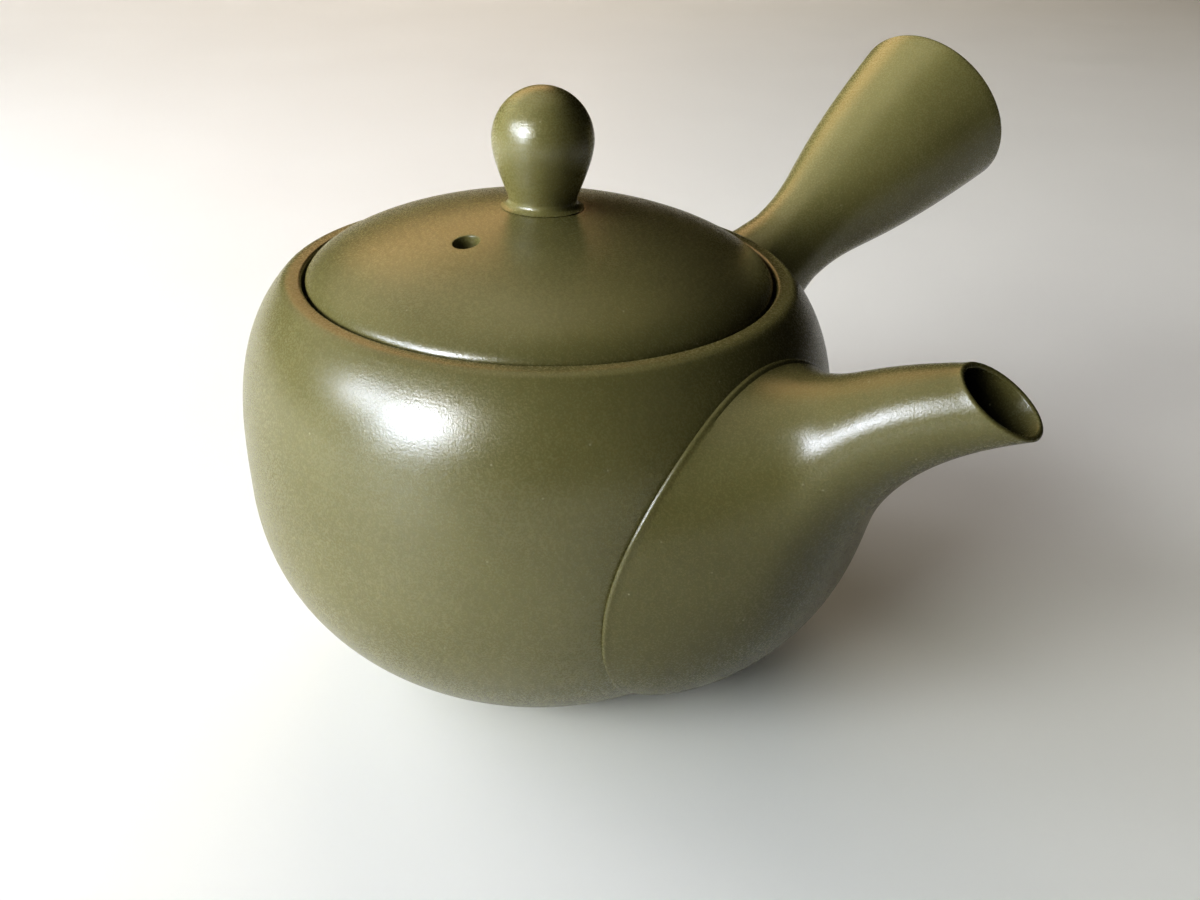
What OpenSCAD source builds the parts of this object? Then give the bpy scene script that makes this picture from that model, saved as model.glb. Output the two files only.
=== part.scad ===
// Side-handled teapot in olive stoneware: pot, strainer, spout, handle, lid and knob.
// Millimetres, +Z up. Origin at the centre of the flat foot. +X runs out along the spout.
// The handle leaves the pot on the +Y side. The lid lifts straight up along +Z.

/* [Pot] */
// outside radius of the pot at the belly
belly_radius = 48; // [44:0.5:54]
// height of the belly above the foot
belly_height = 33; // [31:0.5:36]
// depth below the belly at which the lower curve would close
lower_reach = 39; // [38:0.5:44]
// roundness of the lower curve, 2 is an ellipse
lower_power = 2.15; // [2:0.05:2.6]
// height above the belly at which the shoulder curve would close
upper_reach = 41; // [40:0.5:44]
// roundness of the shoulder curve, 2 is an ellipse
upper_power = 3.1; // [2.8:0.05:3.4]
// wall thickness of the pot
pot_wall = 3; // [2.5:0.1:3.6]
// thickness of the pot's floor
floor_thickness = 4; // [3:0.25:6]
// bevel turned on the edge of the foot
foot_bevel = 1; // [0.5:0.1:1.5]
// width of the mouth lip, from its inner edge to where the shoulder begins
lip_width = 3.3; // [3:0.1:3.5]
// radius of the lip's outer rounding
lip_radius = 2.4; // [1.8:0.1:2.6]
// radius of the lip's inner rounding
lip_inner_round = 0.6; // [0.4:0.05:0.8]
// depth of the lid ledge below the crest of the lip
ledge_depth = 3.6; // [3.2:0.1:4.5]
// width of the lid ledge
ledge_width = 3.4; // [3:0.1:4]
// thickness of the lid ledge at its inner edge
ledge_thickness = 2.4; // [2:0.1:3]

/* [Lid] */
// radius of the lid at its edge
lid_radius = 36.2; // [35:0.1:37]
// gap all round between lid and pot
lid_clearance = 0.5; // [0.35:0.05:0.7]
// height the lid stands above its ledge, so that the two never bind
seat_clearance = 0.35; // [0.3:0.05:0.5]
// thickness of the lid's edge
lid_edge = 2.8; // [2.4:0.1:3.2]
// rise of the domed top above the lid's edge
dome_rise = 10.4; // [9:0.1:12]
// roundness of the domed top, 2 is an ellipse
dome_power = 1.62; // [1.5:0.02:1.8]
// thickness of the domed top
lid_wall = 3; // [2.5:0.1:3.5]
// depth of the locating ring below the lid's edge
ring_depth = 8; // [5:0.5:10]
// thickness of the locating ring
ring_wall = 2.4; // [2:0.1:3]
// diameter of the steam hole
steam_hole = 3.8; // [3:0.1:5]
// distance of the steam hole from the lid's centre
steam_offset = 17; // [14:0.1:20]
// direction of the steam hole, in degrees from the spout
steam_angle = -84; // [-180:1:180]

/* [Knob] */
// radius of the knob's ball
knob_radius = 7.65; // [7:0.05:9]
// height of the knob above the lid
knob_height = 17.5; // [16.5:0.1:20]
// radius of the knob's neck
neck_radius = 5.2; // [4.8:0.05:5.6]
// height of the narrowest part of the neck above the lid
neck_height = 1.2; // [1:0.1:1.8]
// radius of the flared collar at the knob's foot
collar_radius = 6.4; // [6.2:0.1:7.4]

/* [Spout] */
// half width of the egg-shaped root where it meets the pot
root_half_width = 27.7; // [25:0.1:29]
// height of the widest part of the root above the foot
root_height = 31; // [30:0.5:32]
// reach of the root above its widest part
root_up = 31; // [29:0.1:31.5]
// reach of the root below its widest part
root_down = 24.9; // [22:0.1:26]
// height of the root's square edge above the pot
edge_height = 0.6; // [0.4:0.05:1]
// width of the bevel along the root's edge
edge_bevel = 0.4; // [0.3:0.05:0.8]
// fullness of the bulb next to the root
bulb_fullness = 3.4; // [2:0.1:5]
// how far the bulb's sides draw in just above the root
bulb_draw = 4; // [2:0.1:6]
// distance of the bulb's guide ring beyond the belly
bulb_out = 9.8; // [8:0.1:13]
// height of the bulb's guide ring
bulb_height = 43.6; // [41:0.1:45]
// half height of the bulb's guide ring
bulb_half_height = 20.8; // [19:0.1:22]
// half width of the bulb's guide ring
bulb_half_width = 11.2; // [10:0.1:14]
// lean of the bulb's guide ring
bulb_lean = 10; // [5:1:15]
// distance of the neck's guide ring beyond the belly
throat_out = 10.3; // [9:0.1:13]
// height of the neck's guide ring
throat_height = 60.7; // [59:0.1:62]
// half height of the neck's guide ring
throat_half_height = 6.7; // [5.8:0.1:7.5]
// half width of the neck's guide ring
throat_half_width = 9; // [8:0.1:10]
// distance of the mouth's centre beyond the belly
mouth_out = 25.5; // [23:0.1:29]
// height of the mouth's centre above the foot
mouth_height = 68.2; // [66:0.1:70]
// elevation of the direction the mouth faces
mouth_lean = 61; // [52:1:66]
// half length of the oblique mouth
mouth_half_length = 5.95; // [5.5:0.05:7]
// half width of the oblique mouth
mouth_half_width = 4.9; // [4.4:0.05:5.5]
// wall thickness of the spout at its root
spout_wall = 2.6; // [2.2:0.1:3]
// wall thickness of the spout at its mouth
mouth_wall = 0.8; // [0.7:0.05:1.2]
// film of slip between the spout and the pot
slip_film = 0.05; // [0.04:0.01:0.1]

/* [Handle] */
// direction of the handle, in degrees from the spout
handle_angle = 80.5; // [75:0.5:100]
// upward tilt of the handle
handle_tilt = 29.5; // [22:0.5:32]
// height at which the handle's axis crosses the pot's axis
handle_height = 25.5; // [23:0.5:30]
// length of the handle beyond the belly, along its axis
handle_length = 63.3; // [60:0.1:77]
// distance of the handle's narrowest part beyond the belly, along its axis
waist_out = 17.8; // [15:0.1:20]
// radius of the handle's narrowest part
waist_radius = 8.15; // [7.5:0.05:9]
// radius of the flare at the handle's root
flare_radius = 12; // [11:0.1:13]
// radius of the handle at its far end
end_radius = 16.8; // [14.5:0.1:18]
// depth of the rounding on the far end, along the handle
end_depth = 1.4; // [1.2:0.1:2]
// width of the rounding on the far end, across the handle
end_round = 2.2; // [1.6:0.1:2.4]
// wall thickness of the hollow handle
handle_wall = 3; // [2.5:0.1:3.4]
// radius of the opening in the far end
end_opening = 11.5; // [9:0.1:12]

/* [Strainer] */
// radius of the round hole cut through the pot behind the spout
bore_radius = 15; // [13.5:0.1:16]
// height of that hole's centre above the foot
bore_height = 38; // [36:0.5:40]
// distance of the strainer's flat edge inside the belly
strainer_inset = 4.8; // [4.4:0.1:5.2]
// width of the strainer's edge ring
strainer_rim = 2; // [1.6:0.1:2.4]
// depth of the strainer's edge ring
strainer_depth = 2.2; // [1.8:0.1:2.6]
// thickness of the domed mesh
mesh_wall = 1.8; // [1.5:0.1:2.2]
// outside radius of the domed mesh
mesh_radius = 18; // [17:0.5:22]
// diameter of one strainer hole
mesh_hole = 1.7; // [1.2:0.1:2]
// angle between the rings of strainer holes
mesh_step = 9; // [8.5:0.1:9.5]

/* [Hidden] */
$fn = 96;
clay = [0.40, 0.40, 0.24];
// profile of the pot: radius at a height, moved inwards by a thickness
function pot_r(z, t = 0) =
    z < belly_height
    ? (belly_radius - t) * pow(1 - pow((belly_height - z) / (lower_reach - t), lower_power), 1 / lower_power)
    : (belly_radius - t) * pow(1 - pow((z - belly_height) / (upper_reach - t), upper_power), 1 / upper_power);
// height on the shoulder at which the pot has a given radius
function pot_z(r) =
    belly_height + upper_reach * pow(1 - pow(r / belly_radius, upper_power), 1 / upper_power);
// mouth of the pot
rim_inner = lid_radius + lid_clearance;
lip_join = rim_inner + lip_width;
lip_x = lip_join - lip_radius * cos(45);
lip_z = pot_z(lip_join) - lip_radius * sin(45);
rim_z = lip_z + lip_radius;
bead_x = rim_inner + lip_inner_round;
bead_z = rim_z - lip_inner_round;
ledge_z = rim_z - ledge_depth;
mouth_radius = rim_inner - ledge_width;
under_z = ledge_z - ledge_thickness - 2;
// lid levels
lid_base = ledge_z + seat_clearance;
lid_z = lid_base + lid_edge;
ring_radius = mouth_radius - lid_clearance;
function dome_z(r) =
    lid_z + dome_rise * pow(max(0, 1 - pow(r / lid_radius, dome_power)), 1 / dome_power);
seat_z = dome_z(collar_radius);
under_rise = dome_rise - lid_wall + lid_edge;
under_radius = ring_radius - ring_wall;
function under_dome_z(r) =
    lid_base + under_rise * pow(max(0, 1 - pow(r / under_radius, dome_power)), 1 / dome_power);
// knob levels
ball_z = seat_z + knob_height - knob_radius;
neck_z = seat_z + neck_height;
// cubic curve through its first and last point
function curve(a, b, c, d, t) =
    a * pow(1 - t, 3) + b * (3 * t * pow(1 - t, 2)) + c * (3 * t * t * (1 - t)) + d * pow(t, 3);
// spout stations from the pot's axis
bulb_reach = belly_radius + bulb_out;
throat_reach = belly_radius + throat_out;
mouth_reach = belly_radius + mouth_out;
// handle stations along its axis
root_reach = belly_radius - 2;
waist_reach = belly_radius + waist_out;
handle_reach = belly_radius + handle_length;
end_join = handle_reach - end_depth;
handle_span = end_join - waist_reach;
// strainer sphere
strainer_reach = belly_radius - strainer_inset;
mesh_rim = bore_radius - strainer_rim / 2;
mesh_x = strainer_reach + sqrt(mesh_radius * mesh_radius - mesh_rim * mesh_rim);
// loft of the spout
SIDES = 56;
STEPS = 20;
KNOTS = [0, 0, 0, 0, 0.5, 1, 1, 1, 1];
function ratio(a, b) = b == 0 ? 0 : a / b;
function weight(i, p, u) =
    p == 0
    ? ((u >= KNOTS[i] && u < KNOTS[i + 1]) || (u == 1 && i == 4) ? 1 : 0)
    : ratio(u - KNOTS[i], KNOTS[i + p] - KNOTS[i]) * weight(i, p - 1, u)
      + ratio(KNOTS[i + p + 1] - u, KNOTS[i + p + 1] - KNOTS[i + 1]) * weight(i + 1, p - 1, u);
function egg_y(q, cut) = (root_half_width - cut) * cos(q);
function egg_z(q, cut) = root_height + ((sin(q) > 0 ? root_up : root_down) - cut) * sin(q);
function on_pot(y, z) = sqrt(pow(pot_r(z), 2) - y * y);
// point of the egg-shaped root, lifted from the pot along the spout
function egg(q, cut, lift) =
    [on_pot(egg_y(q, cut), egg_z(q, cut)) + slip_film + lift, egg_y(q, cut), egg_z(q, cut)];
// point of an ellipse set across the spout
function hoop(q, x, z, lean, a, b) =
    [x - a * sin(q) * sin(lean), b * cos(q), z + a * sin(q) * cos(lean)];
// guide rings of the outer skin and of the channel, from root to mouth
function guide(k, q, t) =
    k == 0 ? egg(q, t > 0 ? spout_wall : edge_bevel, t > 0 ? 0 : edge_height + edge_bevel)
    : k == 1 ? egg(q, (t > 0 ? spout_wall : edge_bevel) + bulb_draw * pow(cos(q), 2),
                   bulb_fullness + (t > 0 ? 0 : edge_height + edge_bevel))
    : k == 2 ? hoop(q, bulb_reach - t / 2, bulb_height, bulb_lean, bulb_half_height - t, bulb_half_width - t / 2)
    : k == 3 ? hoop(q, throat_reach - t / 4, throat_height, -3, throat_half_height - t / 2, throat_half_width - t)
    : hoop(q, mouth_reach, mouth_height, mouth_lean,
           mouth_half_length - (t > 0 ? mouth_wall : 0), mouth_half_width - (t > 0 ? mouth_wall : 0));
function skin(u, q, t) =
    guide(0, q, t) * weight(0, 3, u) + guide(1, q, t) * weight(1, 3, u) + guide(2, q, t) * weight(2, 3, u)
    + guide(3, q, t) * weight(3, 3, u) + guide(4, q, t) * weight(4, 3, u);
function lip(q) =
    hoop(q, mouth_reach + 0.4 * mouth_wall * cos(mouth_lean), mouth_height + 0.4 * mouth_wall * sin(mouth_lean),
         mouth_lean, mouth_half_length - mouth_wall / 2, mouth_half_width - mouth_wall / 2);
function spout_ring(k, q) =
    k == 0 ? egg(q, 0, 0)
    : k == 1 ? egg(q, 0, edge_height)
    : k < STEPS + 3 ? skin((k - 2) / STEPS, q, 0)
    : k == STEPS + 3 ? lip(q)
    : skin((2 * STEPS + 4 - k) / STEPS, q, spout_wall);
RINGS = 2 * STEPS + 5;

module pot_outline() {
    top_join = pot_z(lip_join);
    polygon(concat(
        [[0, 0], [pot_r(0) - foot_bevel, 0]],
        [for (i = [0:40]) let (z = foot_bevel * 0.8 + (top_join - foot_bevel * 0.8) * i / 40) [pot_r(z), z]],
        [for (a = [54:9:90]) [lip_x + lip_radius * cos(a), lip_z + lip_radius * sin(a)]],
        [for (a = [90:15:180]) [bead_x + lip_inner_round * cos(a), bead_z + lip_inner_round * sin(a)]],
        [[rim_inner, ledge_z], [mouth_radius, ledge_z], [mouth_radius, ledge_z - ledge_thickness]],
        [for (i = [0:36]) let (z = under_z + (floor_thickness - under_z) * i / 36) [pot_r(z, pot_wall), z]],
        [[0, floor_thickness]]
    ));
}

// the same outline filled in to the axis, for parts that are cut to lie on the pot
module pot_solid() {
    top_join = pot_z(lip_join);
    rotate_extrude()
        polygon(concat(
            [[0, 0], [pot_r(0) - foot_bevel, 0]],
            [for (i = [0:40]) let (z = foot_bevel * 0.8 + (top_join - foot_bevel * 0.8) * i / 40) [pot_r(z), z]],
            [[0, top_join]]
        ));
}

module body() {
    color(clay)
        difference() {
            rotate_extrude() pot_outline();
            translate([belly_radius / 2, 0, bore_height])
                rotate([0, 90, 0])
                    cylinder(r = bore_radius, h = belly_radius);
        }
}

module strainer() {
    color(clay)
        translate([mesh_x, 0, bore_height])
            rotate([0, -90, 0])
                difference() {
                    rotate_extrude()
                        union() {
                            intersection() {
                                difference() {
                                    circle(r = mesh_radius);
                                    circle(r = mesh_radius - mesh_wall);
                                }
                                translate([0, mesh_x - strainer_reach - 0.5])
                                    square([mesh_rim, mesh_radius]);
                            }
                            translate([bore_radius - strainer_rim - slip_film, mesh_x - strainer_reach - strainer_depth])
                                square([strainer_rim, strainer_depth]);
                        }
                    for (ring = [0:4])
                        for (i = [0:max(1, ring * 6) - 1])
                            rotate([0, 0, ring == 0 ? 0 : i * 60 / ring])
                                rotate([0, ring * mesh_step, 0])
                                    translate([0, 0, mesh_radius - 2 * mesh_wall])
                                        cylinder(d = mesh_hole, h = 3 * mesh_wall, $fn = 12);
                }
}

module spout() {
    color(clay)
        polyhedron(
            points = [for (k = [0:RINGS - 1]) for (i = [0:SIDES - 1]) spout_ring(k, 360 * i / SIDES)],
            faces = [for (k = [0:RINGS - 1]) for (i = [0:SIDES - 1]) for (half = [0, 1])
                let (
                    j = (i + 1) % SIDES,
                    m = (k + 1) % RINGS,
                    a = k * SIDES + i,
                    b = k * SIDES + j,
                    c = m * SIDES + j,
                    d = m * SIDES + i
                )
                half == 0 ? [a, c, b] : [a, d, c]],
            convexity = 8
        );
}

module handle() {
    root = [flare_radius, root_reach];
    waist = [waist_radius, waist_reach];
    far = [end_radius, end_join];
    root_pull = root + [-0.27 * (flare_radius - waist_radius), 3];
    waist_pull = waist + [0, 0.287 * handle_span];
    far_pull = far - [0.529 * (end_radius - waist_radius), 0.717 * handle_span];
    round_x = end_radius - end_round;
    inner_far = end_radius - handle_wall;
    color(clay)
        difference() {
            rotate([0, 0, handle_angle])
                translate([0, 0, handle_height])
                    rotate([0, 90 - handle_tilt, 0])
                        rotate([0, 0, 180]) rotate_extrude()
                            polygon(concat(
                                [[0, root_reach]],
                                [for (t = [0:0.1:0.95]) curve(root, root_pull, waist - [0, 2], waist, t)],
                                [for (t = [0:0.05:0.99]) curve(waist, waist_pull, far_pull, far, t)],
                                [for (a = [0:15:90])
                                    [round_x + end_round * cos(a), end_join + end_depth * sin(a)]],
                                [[end_opening + 0.6, handle_reach],
                                 [end_opening, handle_reach - 0.6],
                                 [end_opening, handle_reach - 2.2],
                                 [inner_far, handle_reach - 6]],
                                [for (t = [0.9:-0.1:0.05])
                                    curve(waist, waist_pull, far_pull, far, t) - [handle_wall, 0]],
                                [[waist_radius - handle_wall, waist_reach], [0, waist_reach - 2]]
                            ));
            pot_solid();
        }
}

module lid() {
    edge_round = 0.8;
    color(clay)
        difference() {
            rotate_extrude()
                polygon(concat(
                    [[0, seat_z], [collar_radius, seat_z]],
                    [for (i = [1:30]) let (r = collar_radius + (lid_radius - edge_round * 0.3 - collar_radius) * i / 30)
                        [r, dome_z(r)]],
                    [[lid_radius, lid_z],
                     [lid_radius, lid_base + edge_round],
                     [lid_radius - edge_round, lid_base],
                     [ring_radius, lid_base],
                     [ring_radius, lid_base - ring_depth + 1],
                     [ring_radius - 1, lid_base - ring_depth],
                     [under_radius, lid_base - ring_depth]],
                    [for (i = [0:24]) let (r = under_radius * cos(90 * i / 24)) [r < 0.001 ? 0 : r, under_dome_z(under_radius * sin(90 - 90 * i / 24))]]
                ));
            rotate([0, 0, steam_angle])
                translate([steam_offset, 0, lid_base - ring_depth])
                    cylinder(d = steam_hole, h = dome_rise + lid_edge + ring_depth + 5);
        }
}

module knob() {
    low = [neck_radius, neck_z];
    full = [knob_radius, ball_z];
    foot = [collar_radius, seat_z + 0.1];
    color(clay)
        rotate_extrude()
            polygon(concat(
                [[0, seat_z], [collar_radius - 0.1, seat_z]],
                [for (t = [0:0.125:0.95]) curve(foot, foot + [-0.8, 0.1], low - [0, 0.6], low, t)],
                [for (t = [0:0.1:0.95]) curve(low, low + [0, 0.8], full - [0, 3.2], full, t)],
                [for (a = [0:7.5:82.5]) [knob_radius * cos(a), ball_z + knob_radius * sin(a)]],
                [[0, ball_z + knob_radius]]
            ));
}

body();
strainer();
spout();
handle();
lid();
knob();
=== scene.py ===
import math
from typing import NamedTuple

import bmesh
import bpy
from bpy.props import FloatProperty, FloatVectorProperty, PointerProperty
from mathutils import Matrix, Vector


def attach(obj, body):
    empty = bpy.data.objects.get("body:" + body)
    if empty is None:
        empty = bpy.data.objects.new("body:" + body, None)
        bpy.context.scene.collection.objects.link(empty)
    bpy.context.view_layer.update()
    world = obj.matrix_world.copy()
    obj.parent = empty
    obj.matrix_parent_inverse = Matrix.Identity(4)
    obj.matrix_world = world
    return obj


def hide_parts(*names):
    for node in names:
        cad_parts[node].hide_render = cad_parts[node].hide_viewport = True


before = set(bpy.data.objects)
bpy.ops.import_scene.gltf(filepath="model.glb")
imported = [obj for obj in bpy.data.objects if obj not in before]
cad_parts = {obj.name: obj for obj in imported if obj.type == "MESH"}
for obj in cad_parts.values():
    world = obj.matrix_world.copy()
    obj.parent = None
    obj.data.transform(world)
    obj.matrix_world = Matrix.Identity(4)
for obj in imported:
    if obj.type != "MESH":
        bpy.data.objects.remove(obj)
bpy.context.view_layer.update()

bl_info = {
    "name": "Side-handled teapot",
    "version": (1, 0, 0),
    "blender": (4, 5, 0),
    "location": "View3D > Sidebar > Teapot",
    "description": "Burnished olive clay teapot with spout, side handle and loose lid, on a pale table",
    "category": "Object",
}

MM = 0.001
POT_BODY = "pot_body"
LID_BODY = "lid_body"

# points of a run, and vertices of a turned or a cut mesh, closer than this in metres are one
POINT_GAP = 1e-6
TURNED_GAP = 1e-7
CUT_GAP = 1e-6
# edges bent by more degrees than this stay sharp
CREASE = 38

# sides of the turned and drawn pieces, of their holes and of the table, and rings along the spout
POT_SIDES = 192
BORE_SIDES = 96
SPOUT_SIDES = 144
SPOUT_RINGS = 64
HANDLE_SIDES = 128
LID_SIDES = 192
STEAM_SIDES = 48
KNOB_SIDES = 128
TABLE_SIDES = 96


def length(name, description, mm):
    """A size in millimetres as a length property."""
    return FloatProperty(
        name=name, description=description, default=mm * MM, min=0.0, precision=5, unit="LENGTH"
    )


def number(name, description, value):
    """A plain ratio or strength."""
    return FloatProperty(name=name, description=description, default=value, precision=3)


def turn(name, description, degrees):
    """An angle given in degrees."""
    return FloatProperty(
        name=name, description=description, default=math.radians(degrees), subtype="ANGLE"
    )


def colour(name, description, rgb):
    """A linear colour."""
    return FloatVectorProperty(
        name=name, description=description, default=rgb, size=3, min=0.0, max=1.0, subtype="COLOR"
    )


class TeapotPotSizes(bpy.types.PropertyGroup):
    """Sizes of the thrown pot"""

    belly_radius: length("Belly radius", "Outside radius at the belly", 48)
    belly_height: length("Belly height", "Height of the belly above the foot", 33)
    lower_reach: length("Lower reach", "Depth below the belly at which the lower curve would close", 39)
    lower_power: number("Lower roundness", "Roundness of the lower curve, 2 is an ellipse", 2.15)
    upper_reach: length("Upper reach", "Height above the belly at which the shoulder would close", 41)
    upper_power: number("Shoulder roundness", "Roundness of the shoulder, 2 is an ellipse", 3.1)
    wall: length("Wall", "Wall thickness", 3)
    floor: length("Floor", "Thickness of the floor", 4)
    foot_bevel: length("Foot bevel", "Rounding turned on the edge of the foot", 1)
    lip_width: length("Lip width", "Width of the mouth lip", 3.3)
    lip_radius: length("Lip rounding", "Radius of the lip's outer rounding", 2.4)
    lip_inner_round: length("Lip inner rounding", "Radius of the lip's inner rounding", 0.6)
    ledge_depth: length("Ledge depth", "Depth of the lid ledge below the lip", 3.6)
    ledge_width: length("Ledge width", "Width of the lid ledge", 3.4)
    ledge_thickness: length("Ledge thickness", "Thickness of the lid ledge", 2.4)
    bore_radius: length("Bore radius", "Radius of the hole behind the spout", 15)
    bore_height: length("Bore height", "Height of that hole above the foot", 38)


class TeapotLidSizes(bpy.types.PropertyGroup):
    """Sizes of the lid and its knob"""

    radius: length("Lid radius", "Radius of the lid at its edge", 36.2)
    clearance: length("Lid clearance", "Gap all round between lid and pot", 0.5)
    seat_clearance: length("Seat clearance", "Height the lid stands above its ledge", 0.35)
    edge: length("Edge", "Thickness of the lid's edge", 2.8)
    rise: length("Dome rise", "Rise of the dome above the lid's edge", 10.4)
    power: number("Dome roundness", "Roundness of the dome, 2 is an ellipse", 1.62)
    wall: length("Lid wall", "Thickness of the dome", 3)
    ring_depth: length("Ring depth", "Depth of the locating ring", 8)
    ring_wall: length("Ring wall", "Thickness of the locating ring", 2.4)
    steam_hole: length("Steam hole", "Diameter of the steam hole", 3.8)
    steam_offset: length("Steam hole offset", "Distance of the steam hole from the centre", 17)
    steam_angle: turn("Steam hole direction", "Direction of the steam hole from the spout", -84)
    knob_radius: length("Knob radius", "Radius of the knob's ball", 7.65)
    knob_height: length("Knob height", "Height of the knob above the lid", 17.5)
    neck_radius: length("Neck radius", "Radius of the knob's neck", 5.2)
    neck_height: length("Neck height", "Height of the narrowest part of the neck", 1.2)
    collar_radius: length("Collar radius", "Radius of the flared collar", 6.4)


class TeapotSpoutSizes(bpy.types.PropertyGroup):
    """Sizes of the spout"""

    root_half_width: length("Root half width", "Half width of the egg-shaped root", 27.7)
    root_height: length("Root height", "Height of the widest part of the root", 31)
    root_up: length("Root above", "Reach of the root above its widest part", 31)
    root_down: length("Root below", "Reach of the root below its widest part", 24.9)
    edge_height: length("Edge height", "Height of the root's square edge above the pot", 0.6)
    edge_bevel: length("Edge bevel", "Width of the bevel along the root's edge", 0.4)
    groove: length("Groove", "Width of the fine groove between the root and the pot", 0.4)
    fullness: length("Fullness", "Fullness of the bulb next to the root", 3.4)
    draw_in: length("Draw in", "How far the bulb's sides draw in above the root", 4.0)
    bulb_reach: length("Bulb reach", "Distance of the bulb's guide ring from the pot's axis", 57.8)
    bulb_height: length("Bulb height", "Height of the bulb's guide ring", 43.6)
    bulb_half_height: length("Bulb half height", "Half height of the bulb's guide ring", 20.8)
    bulb_half_width: length("Bulb half width", "Half width of the bulb's guide ring", 11.2)
    bulb_lean: turn("Bulb lean", "Lean of the bulb's guide ring", 10)
    throat_reach: length("Throat reach", "Distance of the neck's guide ring from the pot's axis", 58.3)
    throat_height: length("Throat height", "Height of the neck's guide ring", 60.7)
    throat_half_height: length("Throat half height", "Half height of the neck's guide ring", 6.7)
    throat_half_width: length("Throat half width", "Half width of the neck's guide ring", 9)
    throat_lean: turn("Throat lean", "Lean of the neck's guide ring", -3)
    mouth_reach: length("Mouth reach", "Distance of the mouth's centre from the pot's axis", 73.5)
    mouth_height: length("Mouth height", "Height of the mouth's centre", 68.2)
    mouth_lean: turn("Mouth lean", "Elevation of the direction the mouth faces", 61)
    mouth_half_length: length("Mouth half length", "Half length of the oblique mouth", 5.9)
    mouth_half_width: length("Mouth half width", "Half width of the oblique mouth", 4.9)
    wall: length("Spout wall", "Wall thickness at the root", 2.6)
    mouth_wall: length("Mouth wall", "Wall thickness at the mouth", 0.8)
    film: length("Slip film", "Film of slip between spout and pot", 0.05)


class TeapotHandleSizes(bpy.types.PropertyGroup):
    """Sizes of the side handle"""

    angle: turn("Direction", "Direction of the handle from the spout", 80.5)
    tilt: turn("Tilt", "Upward tilt of the handle", 29.5)
    height: length("Height", "Height at which the handle's axis crosses the pot's axis", 25.5)
    reach: length("Reach", "Distance from the pot's axis to the far end", 111.29)
    root_reach: length("Root reach", "Distance from the pot's axis to the start of the flare", 46)
    waist_reach: length("Waist reach", "Distance from the pot's axis to the narrowest part", 65.8)
    waist_radius: length("Waist radius", "Radius of the narrowest part", 8.15)
    flare_radius: length("Flare radius", "Radius of the flare at the root", 12)
    end_radius: length("End radius", "Radius at the far end", 16.8)
    end_depth: length("End rounding depth", "Depth of the far end's rounding, along the handle", 1.4)
    end_round: length("End rounding width", "Width of the far end's rounding", 2.2)
    wall: length("Handle wall", "Wall thickness of the hollow handle", 3)
    opening: length("Opening", "Radius of the opening in the far end", 11.5)


class TeapotClay(bpy.types.PropertyGroup):
    """Colours and finish of the burnished clay"""

    tone: colour("Clay", "Main colour of the burnished clay", (0.141, 0.133, 0.059))
    shade: colour("Clay shade", "Darker tone in the mottling", (0.118, 0.111, 0.047))
    brown: colour("Brown grain", "Browner tone in the fine grain", (0.153, 0.129, 0.054))
    pale_speck: colour("Pale specks", "Colour of the fine sand specks", (0.42, 0.40, 0.30))
    dark_speck: colour("Dark specks", "Colour of the few iron specks", (0.025, 0.021, 0.012))
    gloss: number("Roughness", "Roughness of the burnished skin", 0.25)
    grain_depth: length("Grain depth", "Depth of the fine grain", 0.032)
    line_depth: length("Line depth", "Depth of the faint turning lines", 0.02)


class TeapotStage(bpy.types.PropertyGroup):
    """Table, lights and camera"""

    table: colour("Table", "Colour of the pale table", (0.80, 0.80, 0.79))
    wall: colour("Wall", "Colour of the plain wall behind the table", (0.36, 0.36, 0.35))
    room: colour("Room", "Colour of the dim room", (1.0, 0.7, 0.4))
    room_power: number("Room strength", "Strength of the dim room", 0.006)
    window_power: number("Window power", "Power of the soft window light in watts", 17.8)
    gleam_power: number("Gleam power", "Power of the window's gleam on the clay in watts", 7.0)
    fill_power: number("Fill power", "Power of the soft light from the far side in watts", 23.0)
    warm_power: number("Warm gleam power", "Power of the warm gleam from the far left in watts", 5.2)
    lens: number("Lens", "Focal length in millimetres on a 36 mm wide frame", 29.1)


SETTINGS = {
    "teapot_pot": TeapotPotSizes,
    "teapot_lid": TeapotLidSizes,
    "teapot_spout": TeapotSpoutSizes,
    "teapot_handle": TeapotHandleSizes,
    "teapot_clay": TeapotClay,
    "teapot_stage": TeapotStage,
}


def pot_radius(pot, z, inset=0.0):
    """Radius of the pot's outline at a height, moved inwards by a thickness."""
    lower = z < pot.belly_height
    reach = (pot.lower_reach if lower else pot.upper_reach) - inset
    power = pot.lower_power if lower else pot.upper_power
    part = min(1.0, abs(z - pot.belly_height) / reach)
    return (pot.belly_radius - inset) * (1 - part**power) ** (1 / power)


def shoulder_height(pot, r):
    """Height on the shoulder at which the pot has a given radius."""
    part = (r / pot.belly_radius) ** pot.upper_power
    return pot.belly_height + pot.upper_reach * (1 - part) ** (1 / pot.upper_power)


def rim_levels(pot, lid):
    """Radii and heights of the mouth, shared by the pot and the lid."""
    inner = lid.radius + lid.clearance
    join = inner + pot.lip_width
    arc_r = join - pot.lip_radius * math.cos(math.pi / 4)
    arc_z = shoulder_height(pot, join) - pot.lip_radius * math.sin(math.pi / 4)
    top = arc_z + pot.lip_radius
    ledge = top - pot.ledge_depth
    mouth = inner - pot.ledge_width
    return {
        "inner": inner, "join": join, "arc_r": arc_r, "arc_z": arc_z, "top": top,
        "ledge": ledge, "mouth": mouth, "base": ledge + lid.seat_clearance,
        "dome": ledge + lid.seat_clearance + lid.edge, "ring": mouth - lid.clearance,
    }


def dome_height(lid, levels, r):
    """Height of the lid's dome at a radius."""
    part = min(1.0, r / lid.radius) ** lid.power
    return levels["dome"] + lid.rise * (1 - part) ** (1 / lid.power)


def steps(count):
    """Even parts of one, both ends included."""
    return [i / count for i in range(count + 1)]


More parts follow.
